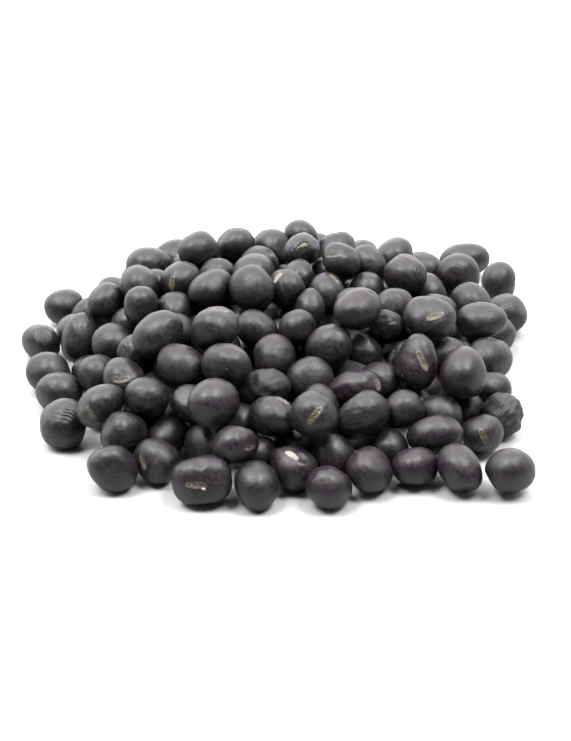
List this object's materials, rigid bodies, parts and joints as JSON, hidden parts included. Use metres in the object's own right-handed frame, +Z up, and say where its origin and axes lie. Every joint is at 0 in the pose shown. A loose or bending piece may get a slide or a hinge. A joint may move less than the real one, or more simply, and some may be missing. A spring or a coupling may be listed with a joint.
{
  "type": "heap of dried black soybeans",
  "caption": "Loose low heap of dried black soybeans, uneven in size and shape, as poured on a flat surface.",
  "frame": {"origin": "middle of the heap's footprint, on the surface that it lies on", "axes": "+Z up, -Y towards the heap's front as the picture shows it, +X to its right"},
  "size_m": [0.1003, 0.0988, 0.0238],
  "materials": {
    "bean_skin": "dry matt seed skin with a slight sheen, near black with a purple or green tint"
  },
  "bodies": {
    "root": {"beans": "bean_skin"}
  },
  "joints": []
}
